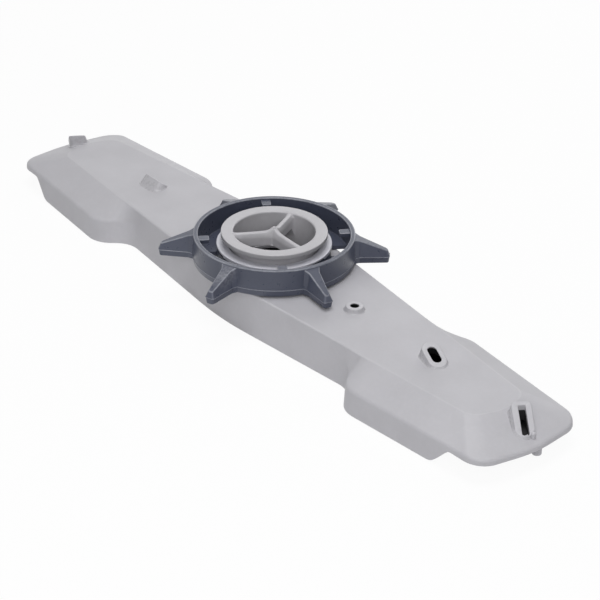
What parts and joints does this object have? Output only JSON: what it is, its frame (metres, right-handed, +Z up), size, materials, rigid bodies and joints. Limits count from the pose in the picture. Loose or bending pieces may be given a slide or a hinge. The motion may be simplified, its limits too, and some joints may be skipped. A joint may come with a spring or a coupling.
{
  "type": "dishwasher spray arm",
  "caption": "Hollow winged dishwasher spray arm with raised jet nozzles, spoked inlet hub and a dark spiked bayonet nut that hangs it from the water pipe.",
  "frame": {"origin": "on the hub axis, in the plane of the skirt's lower edge that the arm rests on", "axes": "+X along the arm towards the end with the long slotted nozzle, +Z up along the hub axis towards the inlet"},
  "size_m": [0.4258, 0.1216, 0.0452],
  "materials": {
    "arm_plastic": "fine satin moulded polypropylene, bluish light grey",
    "hub_plastic": "smooth moulded plastic, neutral light grey",
    "nut_plastic": "satin moulded plastic, dark slate grey"
  },
  "bodies": {
    "arm": {"upper_shell": "arm_plastic", "lower_shell": "arm_plastic", "bearing_ring": "arm_plastic"},
    "hub": {"inlet_hub": "hub_plastic"},
    "nut": {"lock_nut": "nut_plastic"}
  },
  "joints": [
    {"name": "hub_turn", "type": "hinge", "parent": "arm", "child": "hub", "pos_m": [0, 0, 0.0236], "axis": [0, 0, 1], "continuous": true},
    {"name": "nut_turn", "type": "hinge", "parent": "arm", "child": "nut", "pos_m": [0, 0, 0.0272], "axis": [0, 0, 1], "continuous": true}
  ]
}
